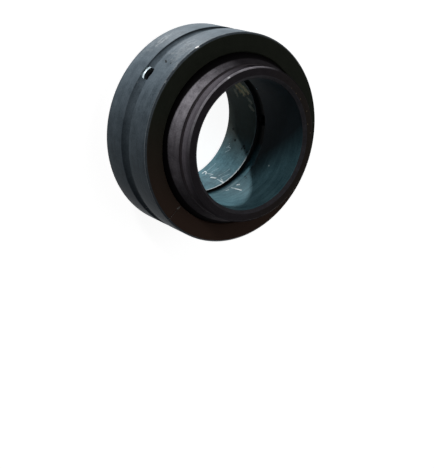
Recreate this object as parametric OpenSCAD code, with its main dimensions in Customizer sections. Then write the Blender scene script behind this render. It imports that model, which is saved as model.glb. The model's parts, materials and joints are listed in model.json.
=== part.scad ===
// Spherical plain bearing with a long inner ring: an inner ring with a ball-shaped waist
// tilts inside an outer ring that was fractured once so that it could be sprung over the ball.
// The bearing axis is Z, and the origin is the centre of the ball.

/* [Inner ring] */
// Diameter of the bore that takes the pin
bore_d = 32; // [26:0.5:48]
// Length of the inner ring along its axis
inner_w = 32; // [29:0.5:48]
// Wall from the bore to the outside of the two end shoulders
shoulder_wall = 2.9; // [2.4:0.1:3.5]
// Wall from the bore to the crest of the ball
ball_wall = 6.8; // [5.5:0.1:7.7]
// Height of the edge where the ball stops above the shoulder
ball_step = 0.15; // [0.1:0.05:0.5]
// Width of the grinding relief at the foot of each shoulder
relief_w = 0.8; // [0.5:0.1:1.6]
// Depth of the grinding relief below the shoulder
relief_depth = 0.2; // [0.1:0.05:0.4]
// Chamfer on the outside of the shoulder ends
shoulder_chamfer = 0.4; // [0.2:0.1:1]
// Chamfer at both mouths of the bore
bore_chamfer = 0.8; // [0.2:0.1:1]

/* [Outer ring] */
// Width of the outer ring along its axis
outer_w = 18; // [13:0.5:21]
// Wall from the ball-shaped seat to the outside of the ring
outer_wall = 3.2; // [2.8:0.1:8]
// Chamfer on the outside edges
rim_chamfer = 0.5; // [0.3:0.1:1.2]
// Lead-in cone at both mouths of the seat
mouth_chamfer = 0.3; // [0.3:0.1:1]
// Running clearance between ball and seat, on the radius
ball_gap = 0.05; // [0.03:0.01:0.1]
// Width of the fracture through the ring
split_w = 0.12; // [0.05:0.01:0.3]
// Angle of the fracture about the axis
split_angle = 232; // [0:1:360]

/* [Grease grooves and holes] */
// Width of the grease groove round the outside
rim_groove_w = 3.5; // [2.2:0.1:5]
// Depth of the grease groove round the outside
rim_groove_depth = 1; // [0.5:0.1:1.5]
// Width of the grease groove round the bore
bore_groove_w = 3.6; // [2.2:0.1:5]
// Depth of the grease groove round the bore
bore_groove_depth = 1; // [0.5:0.1:1.5]
// Distance of the bore groove from the middle of the ball
bore_groove_offset = -1.4; // [-4:0.1:4]
// Diameter of the grease holes in both rings
hole_d = 2.5; // [1.5:0.1:3.5]
// Broken edge round each hole in the rim groove
rim_hole_chamfer = 0.4; // [0.2:0.1:0.7]
// Broken edge round each hole in the bore groove
bore_hole_chamfer = 0.2; // [0.1:0.1:0.6]
// Number of grease holes in each ring
hole_count = 2; // [1:1:4]
// Angle of the first hole in the outer ring
rim_hole_angle = 150; // [0:1:360]
// Angle of the first hole in the inner ring
bore_hole_angle = 14; // [0:1:360]

/* [Hidden] */

$fn = 120;
overcut = 1;

bore_r = bore_d / 2;
shoulder_r = bore_r + shoulder_wall;
ball_r = bore_r + ball_wall;
seat_r = ball_r + ball_gap;
rim_r = ball_r + outer_wall;

// Half width of the ball, where its surface has come down to the edge above the shoulder
ball_edge_r = shoulder_r + ball_step;
ball_half_w = sqrt(ball_r * ball_r - ball_edge_r * ball_edge_r);

// Radius of the seat where its lead-in cone begins
mouth_r = sqrt(seat_r * seat_r - pow(outer_w / 2 - mouth_chamfer, 2));

// Radius of the round tool that leaves a groove of this width and depth
function tool_r(width, depth) = (width * width / 4 + depth * depth) / (2 * depth);

rim_tool_r = tool_r(rim_groove_w, rim_groove_depth);
bore_tool_r = tool_r(bore_groove_w, bore_groove_depth);
relief_tool_r = tool_r(relief_w, relief_depth);

rim_floor_r = rim_r - rim_groove_depth;
bore_floor_r = bore_r + bore_groove_depth;

// Round bar about the axis with the same chamfer at both ends
module chamfered_bar(r, width, chamfer) {
    cylinder(r = r, h = width - 2 * chamfer, center = true);
    for (side = [0, 1])
        mirror([0, 0, side])
            translate([0, 0, width / 2 - chamfer])
                cylinder(r1 = r, r2 = r - chamfer, h = chamfer);
}

// Cone that widens both mouths of a hole of radius r through a ring of this width
module mouth_cones(r, width, chamfer) {
    for (side = [0, 1])
        mirror([0, 0, side])
            translate([0, 0, width / 2 - chamfer])
                cylinder(r1 = r, r2 = r + chamfer + overcut, h = chamfer + overcut);
}

// Cut of a round-nosed tool that runs right round the axis
module ring_groove(tool_centre_r, tool_radius, z = 0) {
    translate([0, 0, z])
        rotate_extrude()
            translate([tool_centre_r, 0])
                circle(r = tool_radius);
}

// Radial grease holes, evenly spaced, from inside radius r1 to outside radius r2
module grease_holes(first_angle, r1, r2, z = 0) {
    for (i = [0 : hole_count - 1])
        rotate([0, 0, first_angle + i * 360 / hole_count])
            translate([r1, 0, z])
                rotate([0, 90, 0])
                    cylinder(d = hole_d, h = r2 - r1);
}

// Countersinks where the holes meet a groove floor: a cone that breaks the edge below and above the floor,
// then a straight wall that clears the sides of the groove as far as radius clear_r
module countersinks(first_angle, floor_r, clear_r, chamfer, z = 0) {
    wide_d = hole_d + 4 * chamfer;
    turn = clear_r > floor_r ? 90 : -90;
    for (i = [0 : hole_count - 1])
        rotate([0, 0, first_angle + i * 360 / hole_count])
            translate([floor_r, 0, z])
                rotate([0, turn, 0]) {
                    translate([0, 0, -chamfer])
                        cylinder(d1 = hole_d, d2 = wide_d, h = 2 * chamfer);
                    translate([0, 0, chamfer])
                        cylinder(d = wide_d, h = abs(clear_r - floor_r) - chamfer);
                }
}

// Inner ring: turned bar with a ground ball, two plain shoulders and a grooved bore
module inner_ring() {
    color("#4b474b")
        difference() {
            union() {
                chamfered_bar(shoulder_r, inner_w, shoulder_chamfer);
                intersection() {
                    sphere(r = ball_r);
                    cylinder(r = ball_r + overcut, h = 2 * ball_half_w, center = true);
                }
            }
            cylinder(r = bore_r, h = inner_w + 2 * overcut, center = true);
            mouth_cones(bore_r, inner_w, bore_chamfer);
            for (side = [-1, 1])
                ring_groove(shoulder_r - relief_depth + relief_tool_r, relief_tool_r,
                    side * (ball_half_w + relief_w / 2));
            ring_groove(bore_floor_r - bore_tool_r, bore_tool_r, bore_groove_offset);
            grease_holes(bore_hole_angle, bore_r - overcut, ball_r + overcut, bore_groove_offset);
            countersinks(bore_hole_angle, bore_floor_r, bore_r - overcut, bore_hole_chamfer, bore_groove_offset);
        }
}

// Outer ring: ball-shaped seat, grease groove and holes, and the single fracture
module outer_ring() {
    color("#2e353b")
        difference() {
            chamfered_bar(rim_r, outer_w, rim_chamfer);
            sphere(r = seat_r);
            mouth_cones(mouth_r, outer_w, mouth_chamfer);
            ring_groove(rim_floor_r + rim_tool_r, rim_tool_r);
            grease_holes(rim_hole_angle, ball_r - overcut, rim_r + overcut);
            countersinks(rim_hole_angle, rim_floor_r, rim_r + overcut, rim_hole_chamfer);
            rotate([0, 0, split_angle])
                translate([0, -split_w / 2, -outer_w])
                    cube([rim_r + overcut, split_w, 2 * outer_w]);
        }
}

outer_ring();
inner_ring();
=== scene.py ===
# %% [markdown]
# # A spherical plain bearing
#
# The bearing joins a pin to a housing and lets the pin tilt a few degrees. It is only two steel rings.
# The inner ring has a ball-shaped waist, and the outer ring closes round that ball in a matching seat.
#
# The frame holds both rings as exact solids, at their real size and place. This lesson gives them
# finer meshes, their finishes, a floor, lamps and a camera. Nothing in the frame is moved.

# %% Load the frame
import json
import math

import bmesh
import bpy
from mathutils import Matrix, Vector, noise


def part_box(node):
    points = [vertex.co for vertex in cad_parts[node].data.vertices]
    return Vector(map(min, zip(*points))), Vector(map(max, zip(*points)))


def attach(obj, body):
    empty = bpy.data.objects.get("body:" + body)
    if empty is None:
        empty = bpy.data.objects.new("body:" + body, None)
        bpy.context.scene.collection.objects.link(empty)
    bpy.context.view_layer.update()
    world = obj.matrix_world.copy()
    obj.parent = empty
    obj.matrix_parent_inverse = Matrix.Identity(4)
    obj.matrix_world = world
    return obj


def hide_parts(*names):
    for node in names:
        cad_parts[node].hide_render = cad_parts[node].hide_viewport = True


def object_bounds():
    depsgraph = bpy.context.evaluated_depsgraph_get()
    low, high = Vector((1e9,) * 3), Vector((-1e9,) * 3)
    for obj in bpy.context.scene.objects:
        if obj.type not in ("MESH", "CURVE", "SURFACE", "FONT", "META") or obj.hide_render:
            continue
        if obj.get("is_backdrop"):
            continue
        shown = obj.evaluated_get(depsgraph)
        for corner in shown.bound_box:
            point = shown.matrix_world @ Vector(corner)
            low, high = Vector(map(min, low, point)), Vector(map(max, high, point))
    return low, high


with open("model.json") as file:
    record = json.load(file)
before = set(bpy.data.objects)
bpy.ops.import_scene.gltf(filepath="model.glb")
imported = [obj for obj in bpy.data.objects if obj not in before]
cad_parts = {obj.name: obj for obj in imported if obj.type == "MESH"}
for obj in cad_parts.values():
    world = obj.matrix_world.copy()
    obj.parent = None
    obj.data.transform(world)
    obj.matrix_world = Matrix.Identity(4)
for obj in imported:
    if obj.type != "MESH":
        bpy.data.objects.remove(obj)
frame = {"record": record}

MM = 0.001
cad_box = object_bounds()
mounts = {mount["name"]: mount["dims"] for mount in frame["record"]["mounts"]}

# %% [markdown]
# ## Sizes
#
# A drawing of a turned ring needs few sizes. The frame gives those that something else has to fit:
# the bore, the outside diameter and the two widths. The rest are the ring maker's own choices, and are
# written here as on a drawing. All of them are in millimetres, and turned into metres only when a mesh
# is written or a cutter is placed.

# %% Sizes of both rings
bore_r = mounts["pin_bore"]["r_mm"]
rim_r = mounts["housing_rim"]["r_mm"]
inner_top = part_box("inner_ring")[1].z / MM
outer_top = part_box("outer_ring")[1].z / MM
bore_edge_z = mounts["pin_bore"]["length_mm"] / 2
rim_edge_z = mounts["housing_rim"]["length_mm"] / 2
bore_chamfer = inner_top - bore_edge_z
rim_chamfer = outer_top - rim_edge_z

ball_r = 22.8
seat_r = 22.85
mouth_chamfer = 0.3
shoulder_r = 18.9
shoulder_chamfer = 0.4
relief_z = 12.93
relief_w = 0.8
relief_depth = 0.2

rim_groove_w = 3.5
rim_groove_depth = 1.0
bore_groove_w = 3.6
bore_groove_depth = 1.0
bore_groove_z = -1.4
hole_r = 1.25
print(f"outer ring: {2 * rim_r:.1f} mm outside, {2 * outer_top:.1f} mm wide")
print(f"inner ring: {2 * bore_r:.1f} mm bore, {2 * inner_top:.1f} mm wide")

# %% [markdown]
# ## Drawing a profile
#
# Both rings were turned on a lathe, so each one is a closed profile swept round the axis. The profile
# could come from a bezier curve, but straight lines and true arcs are what a lathe cuts. It is
# drawn as strokes: each has the name of its finish, its points as (radius, height), and the finish of
# the corner at its end.
#
# No machined corner is perfectly sharp. A last pass trims the ends of neighbouring strokes and puts
# a small curve between them. Where a corner has been rubbed bright, that curve catches the light.

# %% Arcs and grooves
def arc(centre, radius, start, end, steps):
    """Points along an arc; the angles are in degrees, from the radius axis towards the height axis."""
    angles = [math.radians(start + (end - start) * i / steps) for i in range(steps + 1)]
    return [(centre[0] + radius * math.cos(a), centre[1] + radius * math.sin(a)) for a in angles]


def groove(surface_r, cut, width, z, steps=20):
    """Groove of a round-nosed tool: cut is below 0 on the outside of a ring and above 0 in its bore."""
    tool_r = (width ** 2 / 4 + cut ** 2) / (2 * abs(cut))
    half = math.degrees(math.asin(width / 2 / tool_r))
    floor = 0 if cut > 0 else 180
    centre_r = surface_r + cut - math.copysign(tool_r, cut)
    return arc((centre_r, z), tool_r, floor + half, floor - half, steps)


rim_groove = groove(rim_r, -rim_groove_depth, rim_groove_w, 0)
bore_groove = groove(bore_r, bore_groove_depth, bore_groove_w, bore_groove_z)
print("grooves drawn with", len(rim_groove), "and", len(bore_groove), "points")

# %% Soft corners
def trimmed(points, cut):
    """The same polyline without the first and last stretch of length cut."""
    points = [Vector(p) for p in points]
    for _ in range(2):
        left = cut
        while (points[1] - points[0]).length <= left:
            left -= (points[1] - points[0]).length
            points.pop(0)
        points[0] = points[0] + (points[1] - points[0]).normalized() * left
        points.reverse()
    return points


def softened(strokes, corner_r, steps=4):
    """Closed profile as (finish, radius, height), with a small curve at each corner between two strokes."""
    profile = []
    parts = [trimmed(points, corner_r) for _, points, _ in strokes]
    for i, (finish, points, corner_finish) in enumerate(strokes):
        profile += [(finish, p.x, p.y) for p in parts[i][:-1]]
        start, corner, end = parts[i][-1], Vector(points[-1]), parts[(i + 1) % len(parts)][0]
        for k in range(steps):
            t = k / steps
            p = start * (1 - t) ** 2 + corner * 2 * t * (1 - t) + end * t ** 2
            profile.append((corner_finish, p.x, p.y))
    return profile


outer_corner_r = 0.1
inner_corner_r = 0.08
print("corners are softened by", outer_corner_r, "mm (outer ring) and", inner_corner_r, "mm (inner ring)")

# %% [markdown]
# ## Turning a ring
#
# The Screw modifier could sweep the profile. Writing the quads directly keeps one thing that the
# modifier would lose: each quad knows which stroke it came from, so it can take that stroke's finish
# as its material. The steps round the ring are fine enough that no flat shows on the outline.

# %% The lathe
ROUND_STEPS = 360


def finish_slot(mesh, finish):
    """Index of the mesh's material slot for this finish; the material itself is filled in later."""
    if finish not in mesh.materials:
        mesh.materials.append(bpy.data.materials.get(finish) or bpy.data.materials.new(finish))
    return mesh.materials.find(finish)


def smooth(mesh, sharp_deg=32):
    """Smooth shading that stops at real corners."""
    mesh.polygons.foreach_set("use_smooth", [True] * len(mesh.polygons))
    mesh.set_sharp_from_angle(angle=math.radians(sharp_deg))


def new_piece(name, mesh):
    """Object that shows this mesh, linked to the scene."""
    piece = bpy.data.objects.new(name, mesh)
    bpy.context.scene.collection.objects.link(piece)
    return piece


def turned(name, profile):
    """Piece swept once round Z from a closed profile of (finish, radius, height)."""
    count = len(profile)
    vertices = []
    for k in range(ROUND_STEPS):
        a = 2 * math.pi * k / ROUND_STEPS
        vertices += [(r * math.cos(a) * MM, r * math.sin(a) * MM, z * MM) for _, r, z in profile]
    faces = []
    for k in range(ROUND_STEPS):
        here, there = k * count, (k + 1) % ROUND_STEPS * count
        for i in range(count):
            j = (i + 1) % count
            faces.append((here + i, there + i, there + j, here + j))
    mesh = bpy.data.meshes.new(name)
    mesh.from_pydata(vertices, [], faces)
    slots = [finish_slot(mesh, finish) for finish, _, _ in profile]
    mesh.polygons.foreach_set("material_index", slots * ROUND_STEPS)
    smooth(mesh)
    return new_piece(name, mesh)


flat_depth = rim_r * (1 - math.cos(math.pi / ROUND_STEPS))
print(f"the flats between two steps lie {flat_depth:.4f} mm inside the rim's true circle")

# %% [markdown]
# ## The outer ring
#
# From the outside in: a ground rim with a round grease groove, chamfered corners, two flat turned
# sides, a short lead-in cone and the ball-shaped seat. The groove has the rim's coat, but old grease
# lies in it, so it gets a finish of its own.

# %% Outer ring profile
mouth_z = outer_top - mouth_chamfer
mouth_r = math.sqrt(seat_r ** 2 - mouth_z ** 2)
seat_half = math.degrees(math.asin(mouth_z / seat_r))
side_out_r = rim_r - rim_chamfer
side_in_r = mouth_r + mouth_chamfer

outer_strokes = [
    ("phosphated_rim", [(rim_r, -rim_edge_z), rim_groove[0]], "phosphated_rim"),
    ("greased_rim_groove", rim_groove, "phosphated_rim"),
    ("phosphated_rim", [rim_groove[-1], (rim_r, rim_edge_z)], "worn_corner"),
    ("rim_chamfer", [(rim_r, rim_edge_z), (side_out_r, outer_top)], "turned_side"),
    ("turned_side", [(side_out_r, outer_top), (side_in_r, outer_top)], "turned_side"),
    ("turned_side", [(side_in_r, outer_top), (mouth_r, mouth_z)], "turned_side"),
    ("ground_seat", arc((0, 0), seat_r, seat_half, -seat_half, steps=40), "turned_side"),
    ("turned_side", [(mouth_r, -mouth_z), (side_in_r, -outer_top)], "turned_side"),
    ("turned_side", [(side_in_r, -outer_top), (side_out_r, -outer_top)], "turned_side"),
    ("rim_chamfer", [(side_out_r, -outer_top), (rim_r, -rim_edge_z)], "worn_corner"),
]
outer_ring = turned("outer_ring_dressed", softened(outer_strokes, outer_corner_r))
print("outer ring:", len(outer_ring.data.polygons), "faces")
print("its finishes:", [material.name for material in outer_ring.data.materials])

# %% [markdown]
# ## The inner ring
#
# The ball ends in a fine lip, where a round relief was turned at the foot of each shoulder so that
# the grinding wheel could run out. The lip lies where the relief's circle meets the ball's circle,
# which the cosine rule gives. The lower relief is the upper one, mirrored.

# %% Reliefs and the lip of the ball
relief_tool_r = (relief_w ** 2 / 4 + relief_depth ** 2) / (2 * relief_depth)
relief_r = shoulder_r - relief_depth + relief_tool_r
relief_far = math.hypot(relief_r, relief_z)
lip_turn = math.acos((relief_far ** 2 + ball_r ** 2 - relief_tool_r ** 2) / (2 * relief_far * ball_r))
lip = math.atan2(relief_z, relief_r) - lip_turn
lip_r, lip_z = ball_r * math.cos(lip), ball_r * math.sin(lip)
relief_start = 360 + math.degrees(math.atan2(lip_z - relief_z, lip_r - relief_r))
relief_end = 180 - math.degrees(math.asin(relief_w / 2 / relief_tool_r))
upper_relief = arc((relief_r, relief_z), relief_tool_r, relief_start, relief_end, steps=10)
lower_relief = [(r, -z) for r, z in reversed(upper_relief)]
print("lip of the ball at radius", round(lip_r, 2), "and height", round(lip_z, 2), "mm")

# %% Inner ring profile
shoulder_edge_z = inner_top - shoulder_chamfer
end_out_r = shoulder_r - shoulder_chamfer
end_in_r = bore_r + bore_chamfer
lip_deg = math.degrees(lip)

inner_strokes = [
    ("turned_shoulder", [(shoulder_r, -shoulder_edge_z), lower_relief[0]], "turned_shoulder"),
    ("dark_relief", lower_relief, "dark_relief"),
    ("ground_ball", arc((0, 0), ball_r, -lip_deg, lip_deg, steps=64), "ground_ball"),
    ("dark_relief", upper_relief, "dark_relief"),
    ("turned_shoulder", [upper_relief[-1], (shoulder_r, shoulder_edge_z)], "bright_chamfer"),
    ("bright_chamfer", [(shoulder_r, shoulder_edge_z), (end_out_r, inner_top)], "dull_end"),
    ("dull_end", [(end_out_r, inner_top), (end_in_r, inner_top)], "mouth_cone"),
    ("mouth_cone", [(end_in_r, inner_top), (bore_r, bore_edge_z)], "oiled_bore"),
    ("oiled_bore", [(bore_r, bore_edge_z), bore_groove[0]], "oiled_groove"),
    ("oiled_groove", bore_groove, "worn_corner"),
    ("scuffed_land", [bore_groove[-1], (bore_r, -bore_edge_z)], "scuffed_land"),
    ("mouth_cone", [(bore_r, -bore_edge_z), (end_in_r, -inner_top)], "dull_end"),
    ("dull_end", [(end_in_r, -inner_top), (end_out_r, -inner_top)], "dull_end"),
    ("bright_chamfer", [(end_out_r, -inner_top), (shoulder_r, -shoulder_edge_z)], "bright_chamfer"),
]
inner_ring = turned("inner_ring_dressed", softened(inner_strokes, inner_corner_r))
print("inner ring:", len(inner_ring.data.polygons), "faces")
print("its finishes:", [material.name for material in inner_ring.data.materials])

# %% [markdown]
# ## Grease holes
#
# Two radial holes in each ring feed grease from a groove to the ball. A drill and a countersink
# made them, so one cutter of that form goes into a Boolean: a stack of circles along the drill's
# axis. The cut faces keep the cutter's own finish, and the upper part of the rim's countersink is bright.

# %% Drills
DRILL_SIDES = 72
OVERCUT = 1.0


def drill(stations):
    """Cutter along +Z: stations are (radius, height, finish of the wall up to the next one)."""
    mesh = bpy.data.meshes.new("drill")
    bm = bmesh.new()
    rings = []
    for radius, height, _ in stations:
        angles = [2 * math.pi * k / DRILL_SIDES for k in range(DRILL_SIDES)]
        rings.append([bm.verts.new((radius * math.cos(a), radius * math.sin(a), height)) for a in angles])
    for low, high, (_, _, finish) in zip(rings, rings[1:], stations):
        slot = finish_slot(mesh, finish)
        for k in range(DRILL_SIDES):
            j = (k + 1) % DRILL_SIDES
            bm.faces.new((low[k], low[j], high[j], high[k])).material_index = slot
    bm.faces.new(reversed(rings[0]))
    bm.faces.new(rings[-1])
    bm.to_mesh(mesh)
    bm.free()
    return mesh


rim_floor_r = rim_r - rim_groove_depth
rim_hole_chamfer = 0.4
rim_wide_r = hole_r + 2 * rim_hole_chamfer
bright_from = 0.4 * rim_hole_chamfer
rim_drill = drill([
    (hole_r, ball_r - OVERCUT, "drilled_hole"),
    (hole_r, rim_floor_r - rim_hole_chamfer, "drilled_hole"),
    (hole_r + rim_hole_chamfer + bright_from, rim_floor_r + bright_from, "countersunk_edge"),
    (rim_wide_r, rim_floor_r + rim_hole_chamfer, "countersunk_edge"),
    (rim_wide_r, rim_r + OVERCUT, "drilled_hole"),
])

bore_floor_r = bore_r + bore_groove_depth
bore_hole_chamfer = 0.2
bore_wide_r = hole_r + 2 * bore_hole_chamfer
bore_drill = drill([
    (bore_wide_r, bore_r - OVERCUT, "drilled_hole"),
    (bore_wide_r, bore_floor_r - bore_hole_chamfer, "drilled_hole"),
    (hole_r, bore_floor_r + bore_hole_chamfer, "drilled_hole"),
    (hole_r, ball_r + OVERCUT, "drilled_hole"),
])
print("drills with", len(rim_drill.polygons), "and", len(bore_drill.polygons), "faces")

# %% Cut the holes
def radially(mesh, angle, z):
    """Cutter object that points away from the axis at this angle and height."""
    cutter = new_piece("cutter", mesh)
    turn = Matrix.Rotation(math.radians(angle), 4, "Z") @ Matrix.Rotation(math.radians(90), 4, "Y")
    cutter.matrix_world = Matrix.Translation((0, 0, z * MM)) @ turn @ Matrix.Scale(MM, 4)
    return cutter


def cut(piece, cutters):
    """Takes the cutters out of the piece for good and removes them."""
    for cutter in cutters:
        boolean = piece.modifiers.new("cut", "BOOLEAN")
        boolean.object = cutter
        boolean.operation = "DIFFERENCE"
        boolean.solver = "EXACT"
        boolean.material_mode = "TRANSFER"
    bpy.context.view_layer.update()
    depsgraph = bpy.context.evaluated_depsgraph_get()
    mesh = bpy.data.meshes.new_from_object(piece.evaluated_get(depsgraph))
    piece.modifiers.clear()
    piece.data = mesh
    for cutter in cutters:
        bpy.data.objects.remove(cutter)
    smooth(mesh)


rim_hole_angles = (150, 330)
bore_hole_angles = (14, 194)
cut(outer_ring, [radially(rim_drill, angle, 0) for angle in rim_hole_angles])
cut(inner_ring, [radially(bore_drill, angle, bore_groove_z) for angle in bore_hole_angles])
print("after drilling:", len(outer_ring.data.polygons), "and", len(inner_ring.data.polygons), "faces")

# %% [markdown]
# ## The fracture
#
# A hard steel ring can't be stretched over the ball, so it is broken once and sprung open. The break
# follows the grain and is never quite flat. A grid is bent by noise and given a thickness, and the
# Boolean takes it out of the ring.

# %% Break the outer ring
fracture_angle = 232
fracture_w = 0.12
fracture_wander = 0.14
fracture_grain_mm = 1.4
fracture_in_r = seat_r - 3.0
fracture_out_r = rim_r + OVERCUT

bm = bmesh.new()
bmesh.ops.create_grid(bm, x_segments=24, y_segments=72, size=0.5)
for vertex in bm.verts:
    across = fracture_in_r + (fracture_out_r - fracture_in_r) * (vertex.co.x + 0.5)
    along = 2 * (outer_top + OVERCUT) * vertex.co.y
    # Three layers of noise, each twice as fine and half as high as the one before.
    roughness = noise.fractal(Vector((across, along, 0)) / fracture_grain_mm, 1.0, 2.0, 3)
    vertex.co = Vector((across, fracture_wander * roughness, along))
grown = bmesh.ops.extrude_face_region(bm, geom=bm.faces[:])["geom"]
for vertex in (v for v in grown if isinstance(v, bmesh.types.BMVert)):
    vertex.co.y += fracture_w
bmesh.ops.recalc_face_normals(bm, faces=bm.faces[:])
fracture_mesh = bpy.data.meshes.new("fracture")
bm.to_mesh(fracture_mesh)
bm.free()
finish_slot(fracture_mesh, "fracture_grain")
fracture = new_piece("cutter", fracture_mesh)
fracture.matrix_world = Matrix.Rotation(math.radians(fracture_angle), 4, "Z") @ Matrix.Scale(MM, 4)
cut(outer_ring, [fracture])
print("after the break:", len(outer_ring.data.polygons), "faces")

# %% [markdown]
# ## Putting the rings in place of the plain solids
#
# Each dressed ring stands for its own node and rides on that node's body.

# %% Bodies and slots
for piece, node, body, slot in (
    (outer_ring, "outer_ring", "outer", "outer_ring_steel"),
    (inner_ring, "inner_ring", "inner", "inner_ring_steel"),
):
    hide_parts(node)
    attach(piece, body)
    print(piece.name, "stands for", node, "and rides on", body)

# %% [markdown]
# ## Tools for the finishes
#
# Colours are picked as sRGB hex values, as a paint program shows them, and the shader wants linear
# values. Every pattern is placed by the object's own coordinates in millimetres, so a scale is one
# over a real size, and nothing slides when the camera or the joint moves.

# %% Colour, nodes and lathe coordinates
def linear(hex_colour):
    """sRGB hex such as 4c5256 as a linear RGBA colour."""
    channels = [int(hex_colour[i:i + 2], 16) / 255 for i in (0, 2, 4)]
    return [c / 12.92 if c <= 0.04045 else ((c + 0.055) / 1.055) ** 2.4 for c in channels] + [1.0]


def add(tree, kind, inputs=None, ramp=None, **settings):
    """Adds one node: inputs are values or the sockets that feed it, ramp is a list of (place, colour)."""
    node = tree.nodes.new("ShaderNode" + kind)
    for name, value in settings.items():
        setattr(node, name, value)
    for name, value in (inputs or {}).items():
        if isinstance(value, bpy.types.NodeSocket):
            tree.links.new(value, node.inputs[name])
        else:
            node.inputs[name].default_value = value
    for i, (place, colour) in enumerate(ramp or []):
        stop = node.color_ramp.elements[i] if i < 2 else node.color_ramp.elements.new(place)
        stop.position = place
        stop.color = colour
    return node


def lathe_place(tree):
    """Sockets in mm for a turned ring: the point, its direction from the axis, radius plus height."""
    own = add(tree, "TexCoord").outputs["Object"]
    point = add(tree, "VectorMath", {0: own, "Scale": 1 / MM}, operation="SCALE").outputs[0]
    flat = add(tree, "VectorMath", {0: point, 1: (1, 1, 0)}, operation="MULTIPLY").outputs[0]
    away = add(tree, "VectorMath", {0: flat}, operation="NORMALIZE").outputs[0]
    radius = add(tree, "VectorMath", {0: flat}, operation="LENGTH").outputs["Value"]
    height = add(tree, "SeparateXYZ", {0: point}).outputs["Z"]
    along = add(tree, "Math", {0: radius, 1: height}, operation="ADD").outputs[0]
    return point, away, along


print("a grey of 808080 is", round(linear("808080")[0], 3), "as a linear value")

# %% [markdown]
# ## One recipe for phosphated steel
#
# Nearly all faces of both rings are bearing steel with a thin phosphate coat: dark grey, matt and a little
# crystalline, mottled where oil has soaked in. Under it run the marks of the last tool, which on a
# lathe are rings round the axis. An image texture could hold all this, but it would have to be unwrapped
# and would blur close up. The recipe mixes a mottle of millimetres with rings and crystals, and each
# face sets its own colours, gloss and ring spacing.
#
# A coat isn't bare metal, so it isn't metallic. Its specular level is far below the usual 0.5: the
# crystals scatter light, and with a white room all around even a little gloss would look like chalk.

# %% The recipe
# Crystals are some hundredths of a millimetre, and tool marks lie less than 0.1 mm apart. Both are too
# fine to show, so they are drawn coarser: crystals of 0.35 mm, and rings 0.2 to 1.1 mm apart.
CRYSTAL_MM = 0.35
CRYSTAL_SHARE = 0.25
CRYSTAL_HEIGHT = 0.4
# How much a ring changes on its way round the axis.
RING_WANDER = 2.0
# The noises seldom leave this range, so the two colours stand at its ends.
TONE = (0.3, 0.7)


def phosphated_steel(name, dark, light, mottle_mm, ring_mm, ring_depth_mm=0.01, rough=(0.5, 0.6),
                     specular=0.03, rings_share=0.35, metallic=0.0):
    """Fills a material and returns what a later mark needs: its tree, its shader and the place in mm."""
    material = bpy.data.materials.get(name) or bpy.data.materials.new(name)
    material.use_nodes = True
    tree = material.node_tree
    shader = tree.nodes["Principled BSDF"]
    point, away, along = lathe_place(tree)

    cloud = {"Vector": point, "Scale": 1 / mottle_mm, "Detail": 5.0, "Roughness": 0.62}
    mottle = add(tree, "TexNoise", cloud).outputs["Fac"]
    crystals = add(tree, "TexNoise", {"Vector": point, "Scale": 1 / CRYSTAL_MM, "Detail": 2.0}).outputs["Fac"]
    slow = add(tree, "VectorMath", {0: away, "Scale": RING_WANDER}, operation="SCALE").outputs[0]
    fine = add(tree, "Math", {0: along, 1: 1 / ring_mm}, operation="MULTIPLY").outputs[0]
    ring_place = add(tree, "CombineXYZ", {"Z": fine}).outputs[0]
    ring_vector = add(tree, "VectorMath", {0: slow, 1: ring_place}, operation="ADD").outputs[0]
    tool_marks = {"Vector": ring_vector, "Scale": 1.0, "Detail": 3.0, "Roughness": 0.6}
    rings = add(tree, "TexNoise", tool_marks).outputs["Fac"]

    tone = add(tree, "Mix", {0: rings_share, 2: mottle, 3: rings}).outputs[0]
    tone = add(tree, "Mix", {0: CRYSTAL_SHARE, 2: tone, 3: crystals}).outputs[0]
    stops = list(zip(TONE, (linear(dark), linear(light))))
    colour = add(tree, "ValToRGB", {0: tone}, ramp=stops).outputs[0]
    gloss = {"Value": tone, "From Min": TONE[0], "From Max": TONE[1], "To Min": rough[0], "To Max": rough[1]}
    height = add(tree, "Mix", {0: CRYSTAL_HEIGHT, 2: rings, 3: crystals}).outputs[0]
    bump = add(tree, "Bump", {"Height": height, "Distance": ring_depth_mm * MM, "Strength": 1.0})

    tree.links.new(colour, shader.inputs["Base Color"])
    tree.links.new(add(tree, "MapRange", gloss).outputs[0], shader.inputs["Roughness"])
    tree.links.new(bump.outputs[0], shader.inputs["Normal"])
    shader.inputs["Metallic"].default_value = metallic
    shader.inputs["Specular IOR Level"].default_value = specular
    print("finish:", name)
    return tree, shader, point


# %% [markdown]
# ## Painted light and shade, stains, nicks and scratches
#
# A bearing that has been packed, oiled and picked up isn't clean, and besides its stains much of its light
# and shade is painted into the colours here. Tints and painted shade lie over whole areas and end softly.
# They could be painted by hand, but a drift is enough: a tint that grows along a direction, from one plane to
# another.
#
# Nicks and scratches are small and have ends. Each one is a straight line in space with a half width,
# and the surface that lies closer to the line than that takes the mark's tint. Noise frays the outline,
# so that no mark is a clean bar. A spot is a line without length.

# %% Drifts
ACROSS, UP, ALONG = (1, 0, 0), (0, 1, 0), (0, 0, 1)


def lay(recipe, tint, mask):
    """Lays a tint over the colours that a finish has so far, by a mask from 0 to 1."""
    tree, shader, _ = recipe
    under = shader.inputs["Base Color"].links[0].from_socket
    mixed = add(tree, "Mix", {0: mask, 6: under, 7: linear(tint)}, data_type="RGBA").outputs[2]
    tree.links.new(mixed, shader.inputs["Base Color"])


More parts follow.
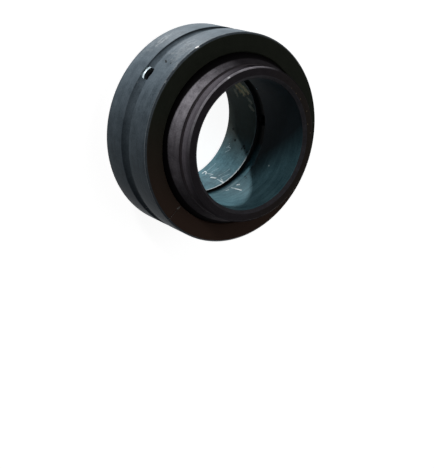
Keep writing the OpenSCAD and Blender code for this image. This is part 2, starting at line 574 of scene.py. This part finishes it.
def drift(recipe, tint, direction, start, end, strength=1.0, mirrored=False):
    """Lets a tint grow between two values of a point's dot product, in mm, with the direction.

    A mirrored drift takes all three coordinates without their sign, so it is the same at both ends.
    """
    tree, _, point = recipe
    if mirrored:
        point = add(tree, "VectorMath", {0: point}, operation="ABSOLUTE").outputs[0]
    place = add(tree, "VectorMath", {0: point, 1: direction}, operation="DOT_PRODUCT").outputs["Value"]
    grow = {"Value": place, "From Min": start, "From Max": end, "To Min": 0.0, "To Max": strength}
    lay(recipe, tint, add(tree, "MapRange", grow).outputs[0])


print("a drift can run", {"across": ACROSS, "up the picture": UP, "along the axis": ALONG})

# %% Marks
# The tint is full within this share of a mark's half width, and fades from there.
MARK_CORE = 0.4
# Waves of a frayed outline in one half width.
FRAY_WAVES = 1.6
# Noise runs from 0 to 1, and without its middle it pushes both ways.
NOISE_MIDDLE = (0.5, 0.5, 0.5)
# Keeps the division below from failing where a line has no length.
NO_LENGTH = 1e-6


def on_ring(r, angle, z):
    """Point at this radius, angle in degrees and height."""
    a = math.radians(angle)
    return Vector((r * math.cos(a), r * math.sin(a), z))


def lines_on(r, *lines):
    """Lines at one radius: each is its start and end as (angle, height), or a single place for a spot."""
    return [(on_ring(r, *line[0]), on_ring(r, *line[-1])) for line in lines]


def mark(recipe, tint, half_mm, lines, strength=1.0, frayed=0.8):
    """Lays marks of one tint and half width over a finish; frayed is their waver, in half widths."""
    tree, _, point = recipe
    waves = {"Vector": point, "Scale": FRAY_WAVES / half_mm, "Detail": 2.0}
    fray = add(tree, "TexNoise", waves).outputs["Color"]
    fray = add(tree, "VectorMath", {0: fray, 1: NOISE_MIDDLE}, operation="SUBTRACT").outputs[0]
    fray = add(tree, "VectorMath", {0: fray, "Scale": 2 * frayed * half_mm}, operation="SCALE").outputs[0]
    place = add(tree, "VectorMath", {0: point, 1: fray}, operation="ADD").outputs[0]
    nearest = None
    for start, end in lines:
        run = end - start
        rise = run / max(run.length_squared, NO_LENGTH)
        past = add(tree, "VectorMath", {0: place, 1: start}, operation="SUBTRACT").outputs[0]
        share = add(tree, "VectorMath", {0: past, 1: rise}, operation="DOT_PRODUCT").outputs["Value"]
        share = add(tree, "Clamp", {"Value": share}).outputs[0]
        on_line = add(tree, "VectorMath", {0: run, 1: share, 2: start}, operation="MULTIPLY_ADD").outputs[0]
        far = add(tree, "VectorMath", {0: place, 1: on_line}, operation="DISTANCE").outputs["Value"]
        if nearest is None:
            nearest = far
        else:
            nearest = add(tree, "Math", {0: nearest, 1: far}, operation="MINIMUM").outputs[0]
    edge = {"Value": nearest, "From Min": half_mm, "From Max": MARK_CORE * half_mm, "To Max": strength}
    lay(recipe, tint, add(tree, "MapRange", edge).outputs[0])
    print(f"{len(lines)} marks of {2 * half_mm:.2f} mm on {recipe[0].id_data.name}")


# %% [markdown]
# ## Finishes of the outer ring
#
# The rim was ground and the sides were turned, then the whole ring was phosphated and oiled. One colour
# all over would look like plastic, so each face has its own two colours, and the corners are paler
# where the coat has been rubbed thin.

# %% Coats of the outer ring
rim_coat = {"dark": "333e46", "light": "69757e", "mottle_mm": 3.0, "ring_mm": 0.4, "rough": (0.45, 0.58)}
# Ground and phosphated rim: a cloudy blue-grey with a faint sheen.
rim = phosphated_steel("phosphated_rim", **rim_coat)
# The same coat in the groove, where painted shade will darken it.
rim_channel = phosphated_steel("greased_rim_groove", **rim_coat)
# Turned chamfer: a dark line that closes the rim.
rim_edge = phosphated_steel("rim_chamfer", "282e33", "4c5359", mottle_mm=1.6, ring_mm=0.3,
                            rough=(0.45, 0.55), specular=0.05)
# Turned side: nearly black, olive and dull, so it looks flat beside the rim.
side = phosphated_steel("turned_side", "22251f", "2f322b", mottle_mm=3.0, ring_mm=0.3,
                        rough=(0.6, 0.72), specular=0.02)
# Corner rubbed thin in handling: a fine pale line, here and on one edge of the groove in the bore.
corner = phosphated_steel("worn_corner", "3f464b", "7d858b", mottle_mm=1.0, ring_mm=0.3,
                          ring_depth_mm=0.005, rough=(0.4, 0.5), specular=0.06)
# Ground seat: brown-black, painted shade for the gap where it is hardly seen.
phosphated_steel("ground_seat", "1a1719", "2b272a", mottle_mm=2.5, ring_mm=0.3,
                 ring_depth_mm=0.008, specular=0.08)

# %% Holes and break
# Drilled wall: near black, painted shade so that it reads as a black hole.
phosphated_steel("drilled_hole", "0b0d0e", "171a1c", mottle_mm=0.8, ring_mm=0.2)
# Bare steel, as if cut after the coat was on: a bright ring round the hole. It is the only metallic finish.
phosphated_steel("countersunk_edge", "a9bcc5", "e6f2f6", mottle_mm=0.8, ring_mm=0.2,
                 ring_depth_mm=0.005, rough=(0.35, 0.42), specular=0.5, metallic=1.0)
# Broken steel that no tool has touched: a coarse, pale grain.
phosphated_steel("fracture_grain", "4a4a48", "a09c96", mottle_mm=0.3, ring_mm=0.2,
                 ring_depth_mm=0.05, rough=(0.4, 0.6), specular=0.08)

# %% Tints and painted light and shade on the outer ring
# Dark blue for painted shade on the rim and in its groove.
painted_shade_blue = "0e1418"
# The side turns brown towards its lower edge.
drift(side, "46342d", UP, 5.0, -20.0, 0.8)
# Rim and groove: painted light makes them a little paler on top, and painted shade darkens them downwards.
for finish in (rim, rim_channel):
    drift(finish, "868f95", UP, 10.0, 27.0, 0.1)
    drift(finish, painted_shade_blue, UP, 15.0, -8.0, 0.55)
# Painted shadow in the back corner of the groove: a dark line that is thickest on top.
drift(rim_channel, "0a0e11", (0, -0.03, 1), -1.85, -2.25, 0.85)
# Painted shade in the recess: the groove is darker than the rim beside it, more so downwards.
drift(rim_channel, painted_shade_blue, UP, 10.0, -4.0, 0.3)
print("nodes in the rim's finish so far:", len(rim[0].nodes))

# %% Nicks and scratches on the outer ring
nick_r = rim_r - 0.05
rub_r = rim_r - 0.1
# The worn corner, the rim and the chamfer meet where these lie, so each of the three takes them.
for finish in (rim, rim_edge, corner):
    mark(finish, "ffffff", 0.24, lines_on(nick_r, [(126.6, 8.55), (128.0, 8.45)]))
    mark(finish, "9aa2a6", 0.22, lines_on(rub_r, [(142.5, 8.5), (145, 8.5)], [(152, 8.6), (153, 8.6)]), 0.6)
mark(rim_channel, "8f979b", 0.3, lines_on(rim_r, [(154, 0.9)], [(157, -1.5)], [(-127, 0.3)]))
mark(rim, "15191c", 0.3, lines_on(rim_r, [(141, 3.3), (142, 4.0)], [(141.8, 5.9)]))

# Broad rubbed patches, so frayed that they look like frost, then fine scratches over them.
rubbed = "959b9e"
mark(rim, rubbed, 2.0, lines_on(rim_r, [(117, -5.0), (135, -6.7)]), 0.14, frayed=3.0)
mark(rim, rubbed, 2.0, lines_on(rim_r, [(128, 5.0), (139, 5.8)]), 0.22, frayed=3.0)
scratched_rim = "c2c7ca"
back_scratches = lines_on(
    rim_r,
    [(130.9, -5.8), (124.5, -6.3)], [(130.7, -4.6), (125.3, -4.9)],
    [(133.6, -5.0), (128.5, -5.0)], [(127.0, -5.4), (122.0, -5.6)],
)
front_scratches = lines_on(
    rim_r,
    [(128.5, 2.2), (125.9, 2.3)], [(128.2, 3.7), (126.7, 4.5)],
    [(125.2, 3.5), (121.8, 4.3)], [(126.0, 4.8), (123.9, 5.6)],
)
mark(rim, scratched_rim, 0.3, back_scratches, 0.28, frayed=2.4)
mark(rim, scratched_rim, 0.16, front_scratches, 0.25, frayed=2.4)

# Chips beside the break, on the side of the ring.
chips = lines_on(21.9, [(fracture_angle, outer_top)]) + lines_on(22.4, [(fracture_angle - 0.4, outer_top)])
mark(side, "8a8a86", 0.25, chips)

# %% [markdown]
# ## Finishes of the inner ring
#
# The ball was ground and the shoulders, ends and bore were turned. The coat is the same, but it has
# taken up a brownish oil outside and a blue-green one in the bore, and there the pin has scuffed it.
# The shoulders and their chamfers get no specular at all. They are seen nearly edge on at the far side,
# where any gloss would mirror the white room as a bright outline.

# %% Coats of the inner ring
# Ground ball: the palest face, a cloudy brown-grey.
ball = phosphated_steel("ground_ball", "5a565c", "c4c0c8", mottle_mm=2.0, ring_mm=0.3,
                        ring_depth_mm=0.008, rough=(0.42, 0.52), specular=0.01)
# Turned shoulder: the same brown-grey, darker, with rings that show.
shoulder = phosphated_steel("turned_shoulder", "504b52", "868289", mottle_mm=2.0, ring_mm=0.5,
                            ring_depth_mm=0.015, rough=(0.45, 0.55), specular=0.0, rings_share=0.6)
# Relief at the foot of the shoulder: painted shade, a dark line between ball and shoulder.
phosphated_steel("dark_relief", "1c191b", "2f2a2e", mottle_mm=2.0, ring_mm=0.5,
                 ring_depth_mm=0.015, specular=0.08)
# Turned chamfer, pale: partly rubbed thin and partly a painted highlight; it draws the outline of the end.
chamfer = phosphated_steel("bright_chamfer", "6a666d", "aaa7ad", mottle_mm=1.2, ring_mm=0.3,
                           ring_depth_mm=0.005, rough=(0.4, 0.5), specular=0.0)
# Turned end: dark and plain.
end = phosphated_steel("dull_end", "272427", "393539", mottle_mm=2.0, ring_mm=0.3, specular=0.02)
# Cone at the mouth of the bore: lighter than the end, a painted highlight along the bore's edge.
phosphated_steel("mouth_cone", "2c2a2d", "4c4a4f", mottle_mm=1.6, ring_mm=0.3,
                 ring_depth_mm=0.008, rough=(0.4, 0.5))

# %% Coats of the bore
# Turned bore in front of the groove: a blue-green oil film over broad rings.
bore = phosphated_steel("oiled_bore", "274650", "5c7f88", mottle_mm=3.0, ring_mm=1.1, rings_share=0.65)
# The land behind the groove: the same film, paler where the pin has rubbed.
land = phosphated_steel("scuffed_land", "2a4650", "6a919c", mottle_mm=2.0, ring_mm=0.6)
# The groove itself: the film again, until painted shade covers it.
channel = phosphated_steel("oiled_groove", "274650", "5a7c85", mottle_mm=2.0, ring_mm=0.4, rough=(0.4, 0.5))

# %% Tints and painted light and shade outside the inner ring
# Painted shade in two depths, for ball and shoulder.
painted_shade_brown = "262125"
painted_deep_shade = "141114"
# Black for painted shade in the gap where the ball comes out of its seat.
painted_gap_shade = "060506"
UP_RIGHT = (0.5, 0.866, 0)
# Ball: painted shade, darker downwards and at the upper right.
drift(ball, painted_shade_brown, UP, 8.5, -2.5, 0.8)
drift(ball, painted_deep_shade, UP, -9.0, -17.0, 0.5)
drift(ball, painted_deep_shade, UP_RIGHT, -0.5, 13.5, 0.97)
# A black line of painted shade where the ball comes out of its seat, at both sides of the outer ring. The
# second drift, a painted shadow, makes it broader towards the top and the bottom.
drift(ball, painted_gap_shade, ALONG, 9.95, 9.65, mirrored=True)
drift(ball, painted_gap_shade, (0, -0.06, 1), 9.85, 9.55, mirrored=True)
# Shoulder: painted shade as on the ball, and darker towards its outer edge, also painted shade.
drift(shoulder, painted_shade_brown, UP, 5.0, -5.0, 0.48)
drift(shoulder, painted_deep_shade, UP_RIGHT, 6.5, 14.0, 0.97)
drift(shoulder, "231f23", ALONG, 14.4, 15.6, 0.5, mirrored=True)
# End: browner on the right. Chamfer: painted shade everywhere but the upper left, which stays pale as a
# painted highlight.
drift(end, "312b23", ACROSS, 0.0, 16.0, 0.7)
drift(chamfer, "2d2a2e", UP, 8.0, -4.0, 0.9)
drift(chamfer, "1a171a", ACROSS, -5.0, 4.0, 0.95)
print("nodes in the ball's finish:", len(ball[0].nodes))

# %% Painted light and shade in the bore
# Painted shadow: the film is almost black up in the bore and deep inside it.
drift(bore, "141318", (0, 1, -0.8), -14.0, -5.5, 0.92)
# Land: a painted highlight along the edge of the groove, and painted shade over its upper half.
drift(land, "d2dadc", ALONG, -3.6, -3.45, 0.9)
drift(land, "4a4b45", UP, -9.0, -1.0, 0.9)
# Groove: painted shade in the upper part, and painted shadow all along its back edge.
painted_groove_shade = "050607"
drift(channel, painted_groove_shade, UP, -8.0, -2.0)
drift(channel, painted_groove_shade, ALONG, -2.2, -2.75)
print("nodes in the bore's finish:", len(bore[0].nodes))

# %% Marks on the end and its chamfer
chamfer_mid_r = shoulder_r - shoulder_chamfer / 2
chamfer_mid_z = inner_top - shoulder_chamfer / 2
# A painted glint on the chamfer at the upper left.
mark(chamfer, "e4e4e8", 0.22, lines_on(chamfer_mid_r, [(124.6, chamfer_mid_z), (126.0, chamfer_mid_z)]))
specks = []
for angle, r in ((60, 16.9), (53, 17.0), (46, 17.2), (33, 17.6), (22, 17.2), (14, 17.9)):
    specks += lines_on(r, [(angle, inner_top)])
mark(end, "6e6250", 0.2, specks)

# %% Scratches on the land
scraped = "f0f6f8"
scratched = "c6d4d8"
# One scratch turns back on itself like a bracket.
bracket = [(-56.8, -13.3), (-53.2, -13.4), (-53.3, -12.6), (-56.0, -12.0)]
mark(land, scraped, 0.18, lines_on(bore_r, *zip(bracket, bracket[1:])), 0.8, frayed=1.1)
scrapes = lines_on(bore_r, [(-57.3, -9.1), (-55.8, -7.5)], [(-57.0, -4.8), (-57.4, -3.4)])
mark(land, scraped, 0.3, scrapes, 0.8)
fine_scratches = lines_on(
    bore_r,
    [(-54.2, -11.7), (-52.9, -9.7)], [(-55.5, -10.2), (-52.9, -9.7)],
    [(-56.5, -6.5), (-57.4, -3.4)], [(-54.2, -5.8), (-55.3, -4.6)],
)
mark(land, scratched, 0.15, fine_scratches, 0.75, frayed=1.1)
hairlines = lines_on(
    bore_r,
    [(-40.3, -12.7), (-50.8, -13.0)], [(-40.3, -6.3), (-51.9, -7.5)],
    [(-44.0, -10.2), (-51.0, -11.2)], [(-46.0, -4.9), (-53.0, -6.2)],
    [(-25.8, -12.2), (-22.1, -11.0)], [(-20.1, -12.0), (-20.4, -11.0)],
    [(-21.5, -12.6), (-18.5, -11.9)], [(-16.6, -12.2)],
)
mark(land, "a8bcc4", 0.14, hairlines, 0.65, frayed=1.1)

# %% Pits and dried oil in the bore
pit = "0c1214"
mark(land, pit, 0.5, lines_on(bore_r, [(-2, -12.6)], [(-11.6, -10.5)], [(-14.5, -6.2)]))
mark(land, pit, 0.4, lines_on(bore_r, [(-16, -5.6)], [(-17, -6.6)], [(-19, -4.0)]))
mark(land, "f0d2a8", 1.3, lines_on(bore_r, [(49, -6.2), (42, -4.7)], [(45, -8.4), (39, -7.1)]))
dried_oil = lines_on(
    bore_r,
    [(39, -10.2), (33.7, -10.2)], [(33, -5.5), (30, -4.6)], [(25.2, -5.4), (22.3, -4.3)],
)
mark(land, "a89f90", 0.7, dried_oil)

front_scrapes = lines_on(bore_r, [(-54.0, 1.1), (-52.4, 1.7)], [(-58.8, 2.3), (-58.0, 4.4)])
mark(bore, scraped, 0.22, front_scrapes, 0.85, frayed=1.3)
mark(bore, scratched, 0.18, lines_on(bore_r, [(-59.8, 0.8), (-58.9, 2.0)], [(-66.0, 0.8), (-63.5, 1.0)]), 0.7)
mark(bore, pit, 0.3, lines_on(bore_r, [(-41.8, 0.8)], [(-43, 1.6)]))
mark(bore, "a8b6bb", 0.3, lines_on(bore_r, [(-23.8, 6.1)], [(49, 0.7)]))

# %% [markdown]
# ## The floor
#
# The bearing stands on the lower end of its inner ring, on a plain white sheet. The sheet has to look
# white behind a dark object without flooding it with light, so it glows, but only for rays that come from
# the camera, or that the camera sees mirrored or through glass. On top of that comes real light on a pale
# matt surface, and that share keeps the bearing's shadow. The sheet itself throws no shadow, because
# three of the lamps stand below it and have to shine through.

# %% Floor
FLOOR_HALF = 3.0
FLOOR_GLOW = 0.92

floor_mesh = bpy.data.meshes.new("floor")
corners = [(-FLOOR_HALF, -FLOOR_HALF), (FLOOR_HALF, -FLOOR_HALF)]
corners += [(FLOOR_HALF, FLOOR_HALF), (-FLOOR_HALF, FLOOR_HALF)]
floor_mesh.from_pydata([(x, y, cad_box[0].z) for x, y in corners], [], [(0, 1, 2, 3)])
floor = new_piece("floor", floor_mesh)
floor.visible_shadow = False
floor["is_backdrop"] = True


def seen_ray(tree):
    """Socket that is 1 for rays from the camera and for those it sees mirrored or through glass, else 0."""
    path = add(tree, "LightPath").outputs
    pair = {0: path["Is Camera Ray"], 1: path["Is Glossy Ray"]}
    seen = add(tree, "Math", pair, operation="MAXIMUM").outputs[0]
    return add(tree, "Math", {0: seen, 1: path["Is Transmission Ray"]}, operation="MAXIMUM").outputs[0]


paper = bpy.data.materials.new("white_paper")
paper.use_nodes = True
tree = paper.node_tree
tree.nodes.clear()
glow = add(tree, "Math", {0: seen_ray(tree), 1: FLOOR_GLOW}, operation="MULTIPLY").outputs[0]
shine = add(tree, "Emission", {"Color": (1, 1, 1, 1), "Strength": glow})
matt = add(tree, "BsdfDiffuse", {"Color": linear("c8c8c8")})
both = add(tree, "AddShader", {0: shine.outputs[0], 1: matt.outputs[0]})
add(tree, "OutputMaterial", {"Surface": both.outputs[0]})
floor_mesh.materials.append(paper)
print("floor at", round(cad_box[0].z / MM, 2), "mm")

# %% [markdown]
# ## Light
#
# A dark matt ring shows its form by where light doesn't fall, so the lamps are few, and each has
# one job. The picture is taken with the bearing's +Y axis upwards, so a lamp towards +Y is above it there.
#
# The key lamp stands at the upper left, level with the outer ring: it lights rim and ball and only grazes
# the flat sides, which stay dark. The front lamp is higher along the axis and reaches the shoulder. The
# back lamp is small, so the patch that it throws through the bore has a clear edge. The broad top lamp
# lifts the upper flat faces a little, and the far lamp lights the side that the picture doesn't show.

# %% Lamps
def lamp(name, azimuth, elevation, distance, size, power):
    """Square soft lamp that faces the origin; angles in degrees, sizes in metres, power in watts."""
    light = bpy.data.lights.new(name, "AREA")
    light.size = size
    light.energy = power
    holder = bpy.data.objects.new(name, light)
    bpy.context.scene.collection.objects.link(holder)
    a, e = math.radians(azimuth), math.radians(elevation)
    away = Vector((math.cos(a) * math.cos(e), math.sin(a) * math.cos(e), math.sin(e)))
    holder.location = away * distance
    holder.rotation_euler = away.to_track_quat("Z", "Y").to_euler()
    print(name, "at", [round(v, 3) for v in holder.location])


lamp("back", azimuth=91, elevation=-40, distance=0.45, size=0.015, power=2.3)
lamp("key", azimuth=137, elevation=-7, distance=0.6, size=0.1, power=1.3)
lamp("front", azimuth=140, elevation=21, distance=0.6, size=0.06, power=0.7)
lamp("top", azimuth=60, elevation=70, distance=0.8, size=0.5, power=0.9)
lamp("far", azimuth=325, elevation=-6, distance=0.8, size=0.4, power=3.0)

# %% [markdown]
# ## The room
#
# The room around the bearing is white to look at and nearly dark as a light. A world of one strength
# would do one or the other, so its strength also depends on the kind of ray.

# %% World
ROOM_FILL = 0.03

world = bpy.context.scene.world or bpy.data.worlds.new("studio")
bpy.context.scene.world = world
world.use_nodes = True
tree = world.node_tree
air = tree.nodes["Background"]
air.inputs["Color"].default_value = linear("f8f8f8")
level = {"Value": seen_ray(tree), "From Min": 0.0, "From Max": 1.0, "To Min": ROOM_FILL, "To Max": 1.0}
tree.links.new(add(tree, "MapRange", level).outputs[0], air.inputs["Strength"])
print("the room lights the bearing at a strength of", ROOM_FILL)

# %% [markdown]
# ## Camera
#
# The camera stands where the picture was taken from, seen from the bearing: to the left of its axis and
# in front of its upper end. It is turned about its own line of sight until the bearing's X axis lies
# level in the picture.

# %% Camera
FRAME_H_PX = 469
focal_px = 974.5
camera_place = Vector((-149.67, 29.79, 192.484)) * MM
line_of_sight = Vector((0.6154, -0.2218, -0.7564)).normalized()
down = line_of_sight.cross(Vector((1, 0, 0))).normalized()
right = down.cross(line_of_sight)

camera_data = bpy.data.cameras.new("camera")
camera_data.lens = camera_data.sensor_width * focal_px / FRAME_H_PX
camera = bpy.data.objects.new("camera", camera_data)
bpy.context.scene.collection.objects.link(camera)
turn = Matrix((right, -down, -line_of_sight)).transposed().to_4x4()
camera.matrix_world = Matrix.Translation(camera_place) @ turn
bpy.context.scene.camera = camera
bpy.context.scene.view_settings.view_transform = "Standard"
distance_mm = round(camera_place.length / MM, 1)
print("camera with a lens of", round(camera_data.lens, 2), "mm,", distance_mm, "mm from the ball")

# %% [markdown]
# ## Sizes before and after
#
# Dressing the rings must not change their size.

# %% Measure the sizes again and print the growth
visual_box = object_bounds()
growth = [round((b - a) / MM, 3) for c, d in zip(cad_box, visual_box) for a, b in zip(c, d)]
print("box grew by", growth, "mm")
